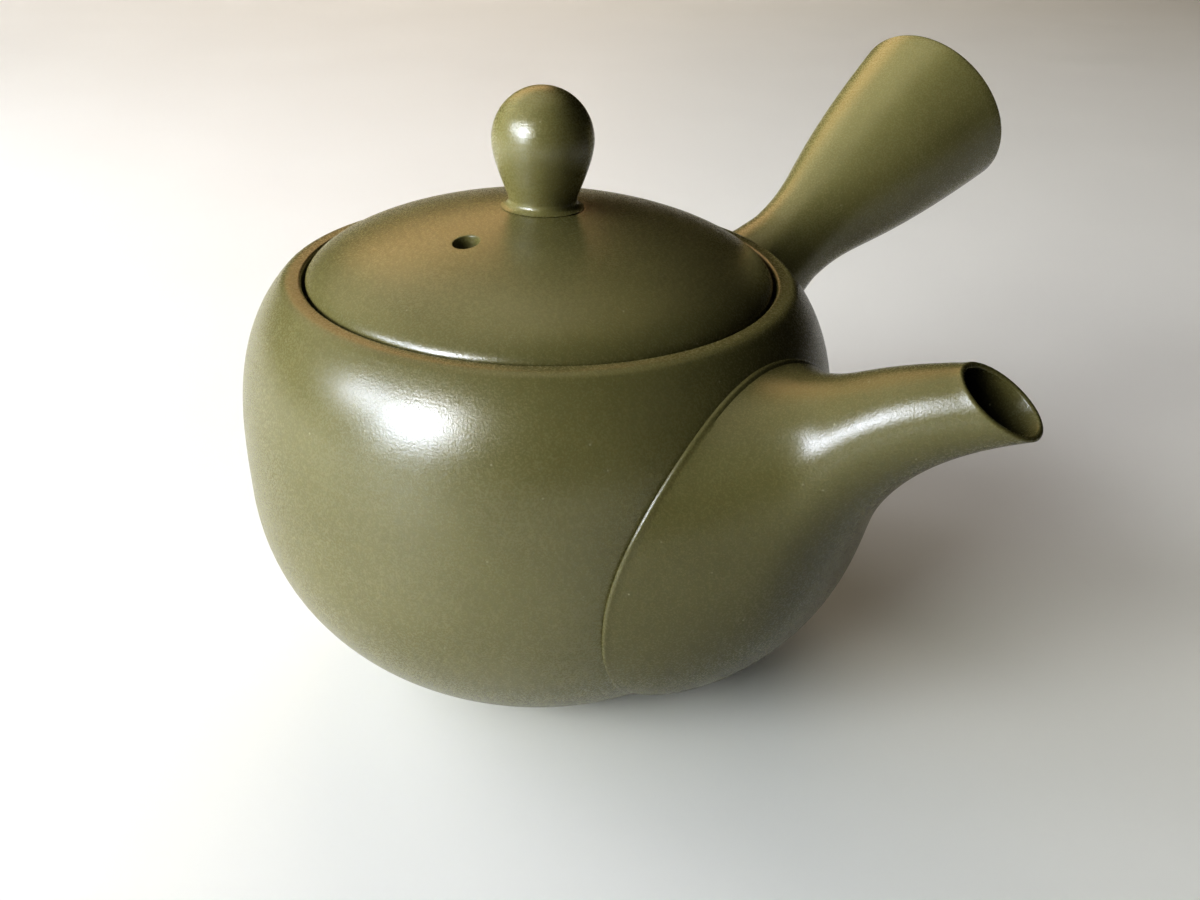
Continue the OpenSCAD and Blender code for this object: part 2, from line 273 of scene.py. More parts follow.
def arc(cx, cz, rx, rz, start, end, count):
    """Points on an ellipse from one angle to another, in degrees."""
    angles = [math.radians(start + (end - start) * t) for t in steps(count)]
    return [(cx + rx * math.cos(a), cz + rz * math.sin(a)) for a in angles]


def cubic(a, b, c, d, t):
    """Point of a cubic curve with two end points and two pulls."""
    s = 1 - t
    weights = (s**3, 3 * t * s * s, 3 * t * t * s, t**3)
    return tuple(sum(w * p[i] for w, p in zip(weights, (a, b, c, d))) for i in (0, 1))


def cubic_run(a, b, c, d, count):
    """Points along a cubic curve."""
    return [cubic(a, b, c, d, t) for t in steps(count)]


def tidy_points(points):
    """The same run of points without repeats."""
    kept = [points[0]]
    for p in points[1:]:
        if math.dist(p, kept[-1]) > POINT_GAP:
            kept.append(p)
    return kept


def spin_profile(points, count):
    """A closed mesh turned round Z from a run of (radius, height) points."""
    bm = bmesh.new()
    verts = [bm.verts.new((r, 0.0, z)) for r, z in tidy_points(points)]
    edges = [bm.edges.new(pair) for pair in zip(verts, verts[1:])]
    bmesh.ops.spin(
        bm, geom=verts + edges, cent=(0, 0, 0), axis=(0, 0, 1),
        angle=math.tau, steps=count, use_merge=True, use_duplicate=False,
    )
    bmesh.ops.remove_doubles(bm, verts=bm.verts, dist=TURNED_GAP)
    bmesh.ops.recalc_face_normals(bm, faces=bm.faces)
    return bm


def loft_rings(rings):
    """A tube extruded from each ring of points to the next, with the edges of both its ends."""
    bm = bmesh.new()
    loop = bmesh.ops.create_circle(bm, segments=len(rings[0]), radius=1.0)["verts"]
    edges = list(bm.edges)
    start = list(edges)
    for vert, place in zip(loop, rings[0]):
        vert.co = place
    for ring in rings[1:]:
        made = bmesh.ops.extrude_edge_only(bm, edges=edges)["geom"]
        fresh = {g for g in made if isinstance(g, bmesh.types.BMVert)}
        loop = [next(e.other_vert(v) for e in v.link_edges if e.other_vert(v) in fresh) for v in loop]
        edges = [
            g for g in made
            if isinstance(g, bmesh.types.BMEdge) and g.verts[0] in fresh and g.verts[1] in fresh
        ]
        for vert, place in zip(loop, ring):
            vert.co = place
    return bm, start, edges


def new_object(name, bm):
    """An object in the scene with the mesh of a bmesh, which is used up."""
    mesh = bpy.data.meshes.new(name)
    bm.to_mesh(mesh)
    bm.free()
    made = bpy.data.objects.new(name, mesh)
    bpy.context.scene.collection.objects.link(made)
    return made


def make_piece(bm, name, body, nodes, material):
    """Turns a bmesh into a smooth finished piece that stands for CAD nodes."""
    piece = new_object(name, bm)
    mesh = piece.data
    mesh.polygons.foreach_set("use_smooth", [True] * len(mesh.polygons))
    mesh.set_sharp_from_angle(angle=math.radians(CREASE))
    mesh.materials.append(material)
    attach(piece, body)
    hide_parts(*nodes)
    return piece


def cut_with(bm, cutter):
    """The mesh bm less the mesh cutter."""
    target, tool = new_object("cut_target", bm), new_object("cut_tool", cutter)
    cut = target.modifiers.new("cut", "BOOLEAN")
    cut.operation = "DIFFERENCE"
    cut.solver = "EXACT"
    cut.object = tool
    graph = bpy.context.evaluated_depsgraph_get()
    result = bmesh.new()
    result.from_object(target, graph)
    for spent in (target, tool):
        mesh = spent.data
        bpy.data.objects.remove(spent)
        bpy.data.meshes.remove(mesh)
    bmesh.ops.remove_doubles(result, verts=result.verts, dist=CUT_GAP)
    if not result.faces:
        raise RuntimeError("the cut left no faces")
    return result


# places of the colour sockets on a mix node
COLOUR_A, COLOUR_B, COLOUR_RESULT = 6, 7, 2


class Nodes:
    """Short ways to add and join shader nodes in one tree."""

    def __init__(self, tree):
        self.tree = tree

    def add(self, kind, **values):
        node = self.tree.nodes.new(kind)
        for key, value in values.items():
            setattr(node, key, value)
        return node

    def join(self, source, target):
        self.tree.links.new(source, target)

    def math(self, operation, a, b=None, c=None):
        node = self.add("ShaderNodeMath", operation=operation)
        for socket, value in zip(node.inputs, (a, b, c)):
            self.give(socket, value)
        return node.outputs[0]

    def give(self, socket, value):
        if value is None:
            return
        if isinstance(value, bpy.types.NodeSocket):
            self.join(value, socket)
        else:
            socket.default_value = value

    def noise(self, vector, scale, detail=2.0, roughness=0.5, dimensions="3D", w=None):
        node = self.add("ShaderNodeTexNoise", noise_dimensions=dimensions)
        if dimensions != "1D":
            self.give(node.inputs["Vector"], vector)
        if w is not None:
            self.give(node.inputs["W"], w)
        node.inputs["Scale"].default_value = scale
        node.inputs["Detail"].default_value = detail
        node.inputs["Roughness"].default_value = roughness
        return node.outputs["Fac"]

    def ramp(self, value, low, high, out_low=0.0, out_high=1.0):
        node = self.add("ShaderNodeMapRange", clamp=True)
        for key, given in (
            ("Value", value), ("From Min", low), ("From Max", high),
            ("To Min", out_low), ("To Max", out_high),
        ):
            self.give(node.inputs[key], given)
        return node.outputs["Result"]

    def blend(self, factor, a, b):
        node = self.add("ShaderNodeMix", data_type="RGBA")
        self.give(node.inputs["Factor"], factor)
        self.give(node.inputs[COLOUR_A], a)
        self.give(node.inputs[COLOUR_B], b)
        return node.outputs[COLOUR_RESULT]


def new_group(name, inputs, outputs):
    """An empty shader node group with named sockets."""
    group = bpy.data.node_groups.new(name, "ShaderNodeTree")
    for label, kind, value in inputs:
        socket = group.interface.new_socket(name=label, in_out="INPUT", socket_type=kind)
        if value is not None:
            socket.default_value = value
    for label, kind in outputs:
        group.interface.new_socket(name=label, in_out="OUTPUT", socket_type=kind)
    nodes = Nodes(group)
    source = nodes.add("NodeGroupInput")
    target = nodes.add("NodeGroupOutput")
    return group, nodes, source.outputs, target.inputs


def new_material(name):
    """A fresh material, with ways to add nodes, its shader and the piece's own coordinates."""
    material = bpy.data.materials.new(name)
    material.use_nodes = True
    nodes = Nodes(material.node_tree)
    skin = material.node_tree.nodes["Principled BSDF"]
    place = nodes.add("ShaderNodeTexCoord").outputs["Object"]
    return material, nodes, skin, place


def paint(rgb, gain=1.0):
    """A colour for a shader socket, paler or darker by a gain."""
    return (*[gain * c for c in rgb], 1)


# waves of the clay's patterns, per metre
MOTTLE_WAVES = 55.0
GRAIN_WAVES = 3300.0
HUE_WAVES = 1700.0
LINE_WAVES = 1500.0
BAND_WAVES = 260.0
WANDER_WAVES = 60.0
PATCH_WAVES = 90.0
# stretches of a pattern's values that are spread from none to full
MOTTLE_SPAN = (0.35, 0.68)
HUE_SPAN = (0.32, 0.68)
DUST_SPAN = (0.3, 0.7)
ROUGH_SPAN = (0.25, 0.75)
PATCH_SPAN = (0.4, 0.7)
# specks: cells per metre, radius of a dot in cells, and share of the cells that stay plain
SPECKS = {"Pale specks": (900.0, 0.16, 0.95), "Dark specks": (330.0, 0.12, 0.99)}
# how softly their cells are chosen, the share of a dot that is full, and the faintest dot
SPECK_STEP = 0.02
SPECK_CORE = 0.55
FAINTEST_SPECK = 0.35
# how far a turning line strays, in metres, and the share of fine lines among the broad ones
LINE_WANDER = 0.0012
FINE_LINES = 0.6
# shares of brown and of pale dust in the clay, and how much paler the dust is
BROWN_SHARE = 0.5
DUST_SHARE = 0.24
DUST_GAIN = 1.5
# roughness taken off or added by the grain and the turning streaks
GRAIN_SMOOTHER = 0.05
GRAIN_ROUGHER = 0.07
STREAK_ROUGHER = 0.06
CLAY_IOR = 1.5


def clay_grain_group():
    """Fine grain, mottling and sand specks of the burnished clay."""
    name = "Clay grain"
    if name in bpy.data.node_groups:
        return bpy.data.node_groups[name]
    group, nodes, given, result = new_group(
        name,
        [("Position", "NodeSocketVector", None)],
        [
            ("Mottle", "NodeSocketFloat"), ("Grain", "NodeSocketFloat"), ("Hue", "NodeSocketFloat"),
            ("Pale specks", "NodeSocketFloat"), ("Dark specks", "NodeSocketFloat"),
        ],
    )
    place = given["Position"]
    mottle = nodes.noise(place, MOTTLE_WAVES, detail=3.0, roughness=0.55)
    nodes.join(nodes.ramp(mottle, *MOTTLE_SPAN), result["Mottle"])
    fine = nodes.noise(place, GRAIN_WAVES, detail=3.0, roughness=0.65)
    nodes.join(fine, result["Grain"])
    hue = nodes.noise(place, HUE_WAVES, roughness=0.6)
    nodes.join(nodes.ramp(hue, *HUE_SPAN), result["Hue"])
    for label, (scale, size, plain) in SPECKS.items():
        cells = nodes.add("ShaderNodeTexVoronoi", feature="F1")
        nodes.join(place, cells.inputs["Vector"])
        cells.inputs["Scale"].default_value = scale
        chance = nodes.add("ShaderNodeSeparateColor")
        nodes.join(cells.outputs["Color"], chance.inputs["Color"])
        chosen = nodes.ramp(chance.outputs["Red"], plain, plain + SPECK_STEP)
        dot = nodes.ramp(cells.outputs["Distance"], size * SPECK_CORE, size, 1.0, 0.0)
        faded = nodes.math("MULTIPLY", chosen, dot)
        strength = nodes.ramp(chance.outputs["Green"], 0.0, 1.0, FAINTEST_SPECK, 1.0)
        nodes.join(nodes.math("MULTIPLY", faded, strength), result[label])
    return group


def turning_group():
    """Faint lines left by the turning tool, round an axis."""
    name = "Turning lines"
    if name in bpy.data.node_groups:
        return bpy.data.node_groups[name]
    group, nodes, given, result = new_group(
        name,
        [
            ("Position", "NodeSocketVector", None),
            ("Axis", "NodeSocketVector", (0.0, 0.0, 1.0)),
            ("Radial", "NodeSocketFloat", 0.0),
        ],
        [("Lines", "NodeSocketFloat"), ("Streaks", "NodeSocketFloat")],
    )
    along = nodes.add("ShaderNodeVectorMath", operation="DOT_PRODUCT")
    nodes.join(given["Position"], along.inputs[0])
    nodes.join(given["Axis"], along.inputs[1])
    flat = nodes.add("ShaderNodeVectorMath", operation="MULTIPLY")
    nodes.join(given["Position"], flat.inputs[0])
    flat.inputs[1].default_value = (1.0, 1.0, 0.0)
    out = nodes.add("ShaderNodeVectorMath", operation="LENGTH")
    nodes.join(flat.outputs["Vector"], out.inputs[0])
    radial = nodes.math("MULTIPLY", out.outputs["Value"], given["Radial"])
    run = nodes.math("ADD", along.outputs["Value"], radial)
    wander = nodes.noise(given["Position"], WANDER_WAVES, detail=1.0)
    shifted = nodes.math("ADD", run, nodes.math("MULTIPLY", wander, LINE_WANDER))
    fine = nodes.noise(None, LINE_WAVES, roughness=0.6, dimensions="1D", w=shifted)
    broad = nodes.noise(None, BAND_WAVES, detail=1.0, dimensions="1D", w=shifted)
    fine_part = nodes.math("MULTIPLY", fine, FINE_LINES)
    broad_part = nodes.math("MULTIPLY", broad, 1 - FINE_LINES)
    nodes.join(nodes.math("ADD", fine_part, broad_part), result["Lines"])
    patches = nodes.ramp(nodes.noise(given["Position"], PATCH_WAVES), *PATCH_SPAN)
    nodes.join(nodes.math("MULTIPLY", fine, patches), result["Streaks"])
    return group


def clay_material(name, axis=(0.0, 0.0, 1.0), radial=0.0, lines=1.0, painted_shading_gain=1.0, shine=0.75):
    """Burnished clay with turning lines round the piece's own axis.

    Its gain argument paints light or shade into the clay's colour, making the whole piece paler or
    darker, and shine sets how strongly it gleams.
    """
    clay = bpy.context.scene.teapot_clay
    material, nodes, skin, place = new_material(name)
    grain = nodes.add("ShaderNodeGroup", node_tree=clay_grain_group())
    turned = nodes.add("ShaderNodeGroup", node_tree=turning_group())
    nodes.join(place, grain.inputs["Position"])
    nodes.join(place, turned.inputs["Position"])
    turned.inputs["Axis"].default_value = axis
    turned.inputs["Radial"].default_value = radial
    # painted light and shade: all of the piece's clay colours are scaled by one gain
    ground = nodes.blend(grain.outputs["Mottle"], paint(clay.shade, painted_shading_gain), paint(clay.tone, painted_shading_gain))
    warm = nodes.math("MULTIPLY", grain.outputs["Hue"], BROWN_SHARE)
    browned = nodes.blend(warm, ground, paint(clay.brown, painted_shading_gain))
    dusty = nodes.ramp(grain.outputs["Grain"], *DUST_SPAN, 0.0, DUST_SHARE)
    grained = nodes.blend(dusty, browned, paint(clay.tone, DUST_GAIN * painted_shading_gain))
    sandy = nodes.blend(grain.outputs["Pale specks"], grained, paint(clay.pale_speck))
    spotted = nodes.blend(grain.outputs["Dark specks"], sandy, paint(clay.dark_speck))
    nodes.join(spotted, skin.inputs["Base Color"])
    smooth, dull = clay.gloss - GRAIN_SMOOTHER, clay.gloss + GRAIN_ROUGHER
    rough = nodes.ramp(grain.outputs["Grain"], *ROUGH_SPAN, smooth, dull)
    rubbed = nodes.math("MULTIPLY_ADD", turned.outputs["Streaks"], STREAK_ROUGHER * lines, rough)
    nodes.join(rubbed, skin.inputs["Roughness"])
    deep = nodes.math("MULTIPLY", grain.outputs["Grain"], clay.grain_depth)
    height = nodes.math("MULTIPLY_ADD", turned.outputs["Lines"], clay.line_depth * lines, deep)
    bump = nodes.add("ShaderNodeBump")
    bump.inputs["Strength"].default_value = 1.0
    bump.inputs["Distance"].default_value = 1.0
    nodes.join(height, bump.inputs["Height"])
    nodes.join(bump.outputs["Normal"], skin.inputs["Normal"])
    skin.inputs["IOR"].default_value = CLAY_IOR
    skin.inputs["Specular IOR Level"].default_value = shine
    return material


# the foot's bevel: its rise and the pull of its curve, as shares of its width
BEVEL_RISE = 0.8
BEVEL_PULL = 0.45
# roundings of the lid ledge and the sweep below it into the wall
LEDGE_ROUND = 0.4 * MM
LEDGE_SWEEP = 2 * MM
LEDGE_PULL = 1 * MM
# the sweep from the wall into the floor inside, with its two pulls
FLOOR_RISE = 2 * MM
FLOOR_SWEEP = 5 * MM
FLOOR_STEEP_PULL = (1.5 * MM, 0.7 * MM)
FLOOR_FLAT_PULL = 3 * MM


def eased(low, high, count):
    """Heights from low to high, closer together at both ends."""
    return [low + (high - low) * (1 - math.cos(math.pi * t)) / 2 for t in steps(count)]


def pot_outline(pot, lid):
    """Run of the pot's section, from the foot's centre round the lip to the floor inside."""
    rim = rim_levels(pot, lid)
    bevel = pot.foot_bevel
    foot = pot_radius(pot, 0.0)
    low = BEVEL_RISE * bevel
    pull = low * BEVEL_PULL
    join_z = shoulder_height(pot, rim["join"])
    bead, small = pot.lip_inner_round, LEDGE_ROUND
    shelf = rim["ledge"] - pot.ledge_thickness
    under = shelf - LEDGE_SWEEP
    run = [(foot * t, 0.0) for t in (0.0, 0.2, 0.4, 0.6, 0.8)]
    run += cubic_run(
        (foot - bevel, 0.0), (foot - BEVEL_PULL * bevel, 0.0),
        (pot_radius(pot, pull), pull), (pot_radius(pot, low), low), 6,
    )
    run += [(pot_radius(pot, z), z) for z in eased(low, join_z, 96)]
    run += arc(rim["arc_r"], rim["arc_z"], pot.lip_radius, pot.lip_radius, 45, 90, 12)
    run += arc(rim["inner"] + bead, rim["top"] - bead, bead, bead, 90, 180, 8)
    run += arc(rim["inner"] - small, rim["ledge"] + small, small, -small, 0, 90, 4)
    run += arc(rim["mouth"] + small, rim["ledge"] - small, -small, small, 90, 0, 4)
    wall = (pot_radius(pot, under, pot.wall), under)
    run += cubic_run(
        (rim["mouth"], shelf), (rim["mouth"], shelf - LEDGE_PULL),
        (wall[0] - LEDGE_SWEEP, under), wall, 8,
    )
    run += [(pot_radius(pot, z, pot.wall), z) for z in eased(under, pot.floor + FLOOR_RISE, 64)]
    corner = run[-1]
    flat = corner[0] - FLOOR_SWEEP
    run += cubic_run(
        corner, (corner[0] - FLOOR_STEEP_PULL[0], pot.floor + FLOOR_STEEP_PULL[1]),
        (corner[0] - FLOOR_FLAT_PULL, pot.floor), (flat, pot.floor), 8,
    )
    run += [(flat * t, pot.floor) for t in (0.75, 0.5, 0.25, 0.0)]
    return run


class TEAPOT_OT_pot(bpy.types.Operator):
    """Throws the pot with its foot, lip, lid ledge and the hole behind the spout"""

    bl_idname = "teapot.pot"
    bl_label = "Pot"

    def execute(self, context):
        pot = context.scene.teapot_pot
        bm = spin_profile(pot_outline(pot, context.scene.teapot_lid), POT_SIDES)
        bore = bmesh.new()
        place = Matrix.Translation((pot.belly_radius, 0, pot.bore_height))
        bmesh.ops.create_cone(
            bore, cap_ends=True, segments=BORE_SIDES, radius1=pot.bore_radius,
            radius2=pot.bore_radius, depth=pot.belly_radius,
            matrix=place @ Matrix.Rotation(math.pi / 2, 4, "Y"),
        )
        make_piece(cut_with(bm, bore), "pot", POT_BODY, ["body"],
                   clay_material("Pot clay", lines=0.5))
        return {"FINISHED"}


class TEAPOT_OT_strainer(bpy.types.Operator):
    """Gives the strainer behind the spout its clay, without turning lines"""

    bl_idname = "teapot.strainer"
    bl_label = "Strainer"

    def execute(self, context):
        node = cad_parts["strainer"]
        node.data.materials.clear()
        node.data.materials.append(clay_material("Strainer clay", lines=0.0))
        return {"FINISHED"}


# the spline through the spout's five guide rings
KNOTS = (0, 0, 0, 0, 0.5, 1, 1, 1, 1)
LAST_SPAN = 4
SPLINE_DEGREE = 3
# how deep the spout sits in the pot, and the turn of its root from the groove to the edge
SPOUT_SINK = 0.35 * MM
GROOVE_TOP = 0.22 * MM
EDGE_START = (0.05 * MM, 0.36 * MM)
# steps of the root's rounded bevel, across and up, as shares of its width
BEVEL_STEPS = ((0.12, 0.55), (0.45, 0.88))
# height of the rounded lip at the mouth, as a share of its wall, and the angles of its rings
LIP_CROWN = 0.4
LIP_ANGLES = range(30, 180, 30)


def spline_weight(i, degree, u):
    """Weight of guide ring i on a clamped spline."""
    if degree == 0:
        return 1.0 if KNOTS[i] <= u < KNOTS[i + 1] or (u == 1 and i == LAST_SPAN) else 0.0
    left, right = KNOTS[i + degree] - KNOTS[i], KNOTS[i + degree + 1] - KNOTS[i + 1]
    value = 0.0
    if left:
        value += (u - KNOTS[i]) / left * spline_weight(i, degree - 1, u)
    if right:
        value += (KNOTS[i + degree + 1] - u) / right * spline_weight(i + 1, degree - 1, u)
    return value


def egg_point(spout, pot, q, cut, lift):
    """Point of the egg-shaped root on the pot, lifted along the spout."""
    y = (spout.root_half_width - cut) * math.cos(q)
    reach = spout.root_up if math.sin(q) > 0 else spout.root_down
    z = spout.root_height + (reach - cut) * math.sin(q)
    return Vector((math.sqrt(pot_radius(pot, z) ** 2 - y * y) + spout.film + lift, y, z))


def hoop_point(q, x, z, lean, a, b):
    """Point of an ellipse set across the spout."""
    up = a * math.sin(q)
    return Vector((x - up * math.sin(lean), b * math.cos(q), z + up * math.cos(lean)))


def spout_guides(spout, pot, q, inside):
    """The five guide points of the outer skin, or of the channel, at one angle."""
    wall = spout.wall if inside else 0.0
    rim = spout.mouth_wall if inside else 0.0
    cut = spout.wall if inside else spout.edge_bevel
    lift = 0.0 if inside else spout.edge_height + spout.edge_bevel
    return (
        egg_point(spout, pot, q, cut, lift),
        egg_point(spout, pot, q, cut + spout.draw_in * math.cos(q) ** 2, lift + spout.fullness),
        hoop_point(q, spout.bulb_reach - wall / 2, spout.bulb_height, spout.bulb_lean,
                   spout.bulb_half_height - wall, spout.bulb_half_width - wall / 2),
        hoop_point(q, spout.throat_reach - wall / 4, spout.throat_height, spout.throat_lean,
                   spout.throat_half_height - wall / 2, spout.throat_half_width - wall),
        hoop_point(q, spout.mouth_reach, spout.mouth_height, spout.mouth_lean,
                   spout.mouth_half_length - rim, spout.mouth_half_width - rim),
    )


def spout_skin(spout, pot, q, u, inside):
    """Point of the spout's skin at a share of its length."""
    total = Vector((0, 0, 0))
    for i, guide in enumerate(spout_guides(spout, pot, q, inside)):
        total += guide * spline_weight(i, SPLINE_DEGREE, u)
    return total


def spout_rings(spout, pot, sides, lengths):
    """Rings of the spout from the root's groove over the skin and lip, and back down the channel."""
    angles = [math.tau * i / sides for i in range(sides)]
    bevel, edge, lean = spout.edge_bevel, spout.edge_height, spout.mouth_lean
    root = [(spout.groove, -SPOUT_SINK), (spout.groove, GROOVE_TOP), EDGE_START, (0.0, edge)]
    root += [(across * bevel, edge + up * bevel) for across, up in BEVEL_STEPS]
    rings = [[egg_point(spout, pot, q, cut, lift) for q in angles] for cut, lift in root]
    rings += [[spout_skin(spout, pot, q, t, False) for q in angles] for t in steps(lengths)]
    half = spout.mouth_wall / 2
    crown = LIP_CROWN * spout.mouth_wall
    for a in LIP_ANGLES:
        out, up = half * math.cos(math.radians(a)), crown * math.sin(math.radians(a))
        x, z = spout.mouth_reach + up * math.cos(lean), spout.mouth_height + up * math.sin(lean)
        long, wide = spout.mouth_half_length - half + out, spout.mouth_half_width - half + out
        rings.append([hoop_point(q, x, z, lean, long, wide) for q in angles])
    channel = reversed(steps(lengths // 2))
    rings += [[spout_skin(spout, pot, q, t, True) for q in angles] for t in channel]
    rings.append([egg_point(spout, pot, q, spout.wall, -SPOUT_SINK) for q in angles])
    return rings


# way along which the spout was turned, for its turning lines
SPOUT_AXIS = (0.9, 0.0, 0.45)
# groups of pieces that some gleams light alone, or leave out
SPOUT_ONLY = "Spout lit"
SPOUT_SPARED = "Spout spared"


def light_link(name):
    """The group of pieces with this name, made when it is first asked for."""
    return bpy.data.collections.get(name) or bpy.data.collections.new(name)


class TEAPOT_OT_spout(bpy.types.Operator):
    """Draws the spout from its egg-shaped root over the bulb to the oblique mouth"""

    bl_idname = "teapot.spout"
    bl_label = "Spout"

    def execute(self, context):
        spout, pot = context.scene.teapot_spout, context.scene.teapot_pot
        bm, start, edges = loft_rings(spout_rings(spout, pot, SPOUT_SIDES, SPOUT_RINGS))
        bmesh.ops.bridge_loops(bm, edges=start + edges)
        bmesh.ops.recalc_face_normals(bm, faces=bm.faces)
        # painted shade: the spout's clay is darkened to 0.7 to stand in for shading on its bulb
        clay = clay_material("Spout clay", axis=SPOUT_AXIS, lines=0.25, painted_shading_gain=0.7, shine=0.5)
        piece = make_piece(bm, "spout_shell", POT_BODY, ["spout"], clay)
        light_link(SPOUT_ONLY).objects.link(piece)
        spared = light_link(SPOUT_SPARED)
        spared.objects.link(piece)
        spared.collection_objects[0].light_linking.link_state = "EXCLUDE"
        return {"FINISHED"}


def handle_place(handle):
    """Matrix from the handle's own frame, where Z runs outwards, to the teapot's."""
    return (
        Matrix.Translation((0, 0, handle.height))
        @ Matrix.Rotation(handle.angle, 4, "Z")
        @ Matrix.Rotation(math.pi / 2 - handle.tilt, 4, "Y")
    )


# pulls of the handle's curves: inwards as shares of a flare, and along it in metres or as shares
ROOT_PULL = (0.27, 3 * MM)
WAIST_PULL = (2 * MM, 0.287)
FAR_PULL = (0.529, 0.717)
# how deep the handle's root sits in the pot
HANDLE_SINK = 0.3 * MM
# rounding of the opening's edge, and the sweep from the opening into the hollow
OPENING_ROUND = 0.6 * MM
OPENING_LEVELS = (2.2 * MM, 3.6 * MM)
HOLLOW_PULL = 1.5 * MM
# depth of the hollow's round end
HOLLOW_END = 2 * MM
# points of the inner curve that the opening's sweep takes the place of
SWEPT = 3


def handle_rings(handle, pot, sides):
    """Rings of the handle from its root to the far end and back inside, and its two end points."""
    place = handle_place(handle)
    far_s = handle.reach - handle.end_depth
    span = far_s - handle.waist_reach
    root = (handle.flare_radius, handle.root_reach)
    waist = (handle.waist_radius, handle.waist_reach)
    far = (handle.end_radius, far_s)
    flare = handle.flare_radius - handle.waist_radius
    root_pull = (root[0] - ROOT_PULL[0] * flare, root[1] + ROOT_PULL[1])
    waist_in_pull = (waist[0], waist[1] - WAIST_PULL[0])
    waist_pull = (waist[0], waist[1] + WAIST_PULL[1] * span)
    far_pull = (far[0] - FAR_PULL[0] * (far[0] - waist[0]), far[1] - FAR_PULL[1] * span)

    def on_axis(r, s, q):
        return place @ Vector((r * math.cos(q), r * math.sin(q), s))

    def root_point(t, q):
        r, s = cubic(root, root_pull, waist_in_pull, waist, t)
        return on_axis(r, s, q)

    def root_share(q, depth):
        low, high = 0.0, 1.0
        for _ in range(40):
            mid = (low + high) / 2
            p = root_point(mid, q)
            if math.hypot(p.x, p.y) < pot_radius(pot, p.z) - depth:
                low = mid
            else:
                high = mid
        return high

    angles = [math.tau * i / sides for i in range(sides)]
    starts = [root_share(q, HANDLE_SINK) for q in angles]
    rings = [[root_point(a + (1 - a) * t, q) for a, q in zip(starts, angles)] for t in steps(20)]
    run = cubic_run(waist, waist_pull, far_pull, far, 56)[1:]
    run += arc(far[0] - handle.end_round, far_s, handle.end_round, handle.end_depth, 0, 90, 10)[1:]
    edge = OPENING_ROUND
    run += arc(handle.opening + edge, handle.reach - edge, -edge, edge, 90, 0, 6)
    inner = [(r - handle.wall, s) for r, s in cubic_run(waist, waist_pull, far_pull, far, 28)]
    swept = inner[-SWEPT]
    lip, throat = ((handle.opening, handle.reach - depth) for depth in OPENING_LEVELS)
    run += cubic_run(lip, throat, (swept[0], swept[1] + HOLLOW_PULL), swept, 6)
    run += list(reversed(inner[:-SWEPT]))
    run += arc(0.0, handle.waist_reach, inner[0][0], -HOLLOW_END, 15, 75, 4)
    for r, s in tidy_points(run):
        rings.append([on_axis(r, s, q) for q in angles])
    root_end = place @ Vector((0, 0, handle.root_reach))
    inner_end = place @ Vector((0, 0, handle.waist_reach - HOLLOW_END))
    return rings, root_end, inner_end


class TEAPOT_OT_handle(bpy.types.Operator):
    """Throws the hollow side handle and sets its root on the pot"""

    bl_idname = "teapot.handle"
    bl_label = "Handle"

    def execute(self, context):
        handle, pot = context.scene.teapot_handle, context.scene.teapot_pot
        rings, root_end, inner_end = handle_rings(handle, pot, HANDLE_SIDES)
        bm, start, edges = loft_rings(rings)
        for ring, place in ((start, root_end), (edges, inner_end)):
            cap = bmesh.ops.extrude_edge_only(bm, edges=ring)["geom"]
            verts = [g for g in cap if isinstance(g, bmesh.types.BMVert)]
            bmesh.ops.pointmerge(bm, verts=verts, merge_co=place)
        bmesh.ops.recalc_face_normals(bm, faces=bm.faces)
        axis = handle_place(handle).to_3x3() @ Vector((0, 0, 1))
        # painted light: the handle's clay is made 1.2 times paler to stand in for light falling on it
        make_piece(bm, "side_handle", POT_BODY, ["handle"],
                   clay_material("Handle clay", axis=tuple(axis), lines=0.6, painted_shading_gain=1.2))
        return {"FINISHED"}


# roundings of the lid's edge, of its ring inside and out, and of the steam hole
LID_ROUND = 0.8 * MM
RING_ROUND = 1 * MM
RING_INNER_ROUND = 0.6 * MM
STEAM_ROUND = 0.22 * MM
# how far the steam hole's drill stands above the dome, and what of it stays level below
DRILL_ABOVE = 2 * MM
DRILL_LEVEL = 0.1 * MM


def lid_outline(lid, pot):
    """Run of the lid's section, from the middle of its top round edge and ring to the middle below."""
    levels = rim_levels(pot, lid)
    seat = dome_height(lid, levels, lid.collar_radius)
    base, edge = levels["base"], LID_ROUND
    run = [(lid.collar_radius * t, seat) for t in (0.0, 0.5)]
    power = 2 / lid.power
    first = math.asin((lid.collar_radius / lid.radius) ** (1 / power))

    def dome_point(radius, foot, rise, a):
        return radius * math.sin(a) ** power, foot + rise * max(0.0, math.cos(a)) ** power

    for t in steps(72):
        a = first + (math.pi / 2 - first) * t
        run.append(dome_point(lid.radius, levels["dome"], lid.rise, a))
    run += arc(lid.radius - edge, base + edge, edge, -edge, 0, 90, 6)
    run.append((levels["ring"], base))
    low = base - lid.ring_depth
    outer, fine = RING_ROUND, RING_INNER_ROUND
    run += arc(levels["ring"] - outer, low + outer, outer, -outer, 0, 90, 6)
    inner = levels["ring"] - lid.ring_wall
    run += arc(inner + fine, low + fine, -fine, -fine, 90, 0, 5)
    under = lid.rise - lid.wall + lid.edge
    run += [dome_point(inner, base, under, math.pi / 2 * (1 - t)) for t in steps(40)]
    run[-1] = (0.0, base + under)
    return run


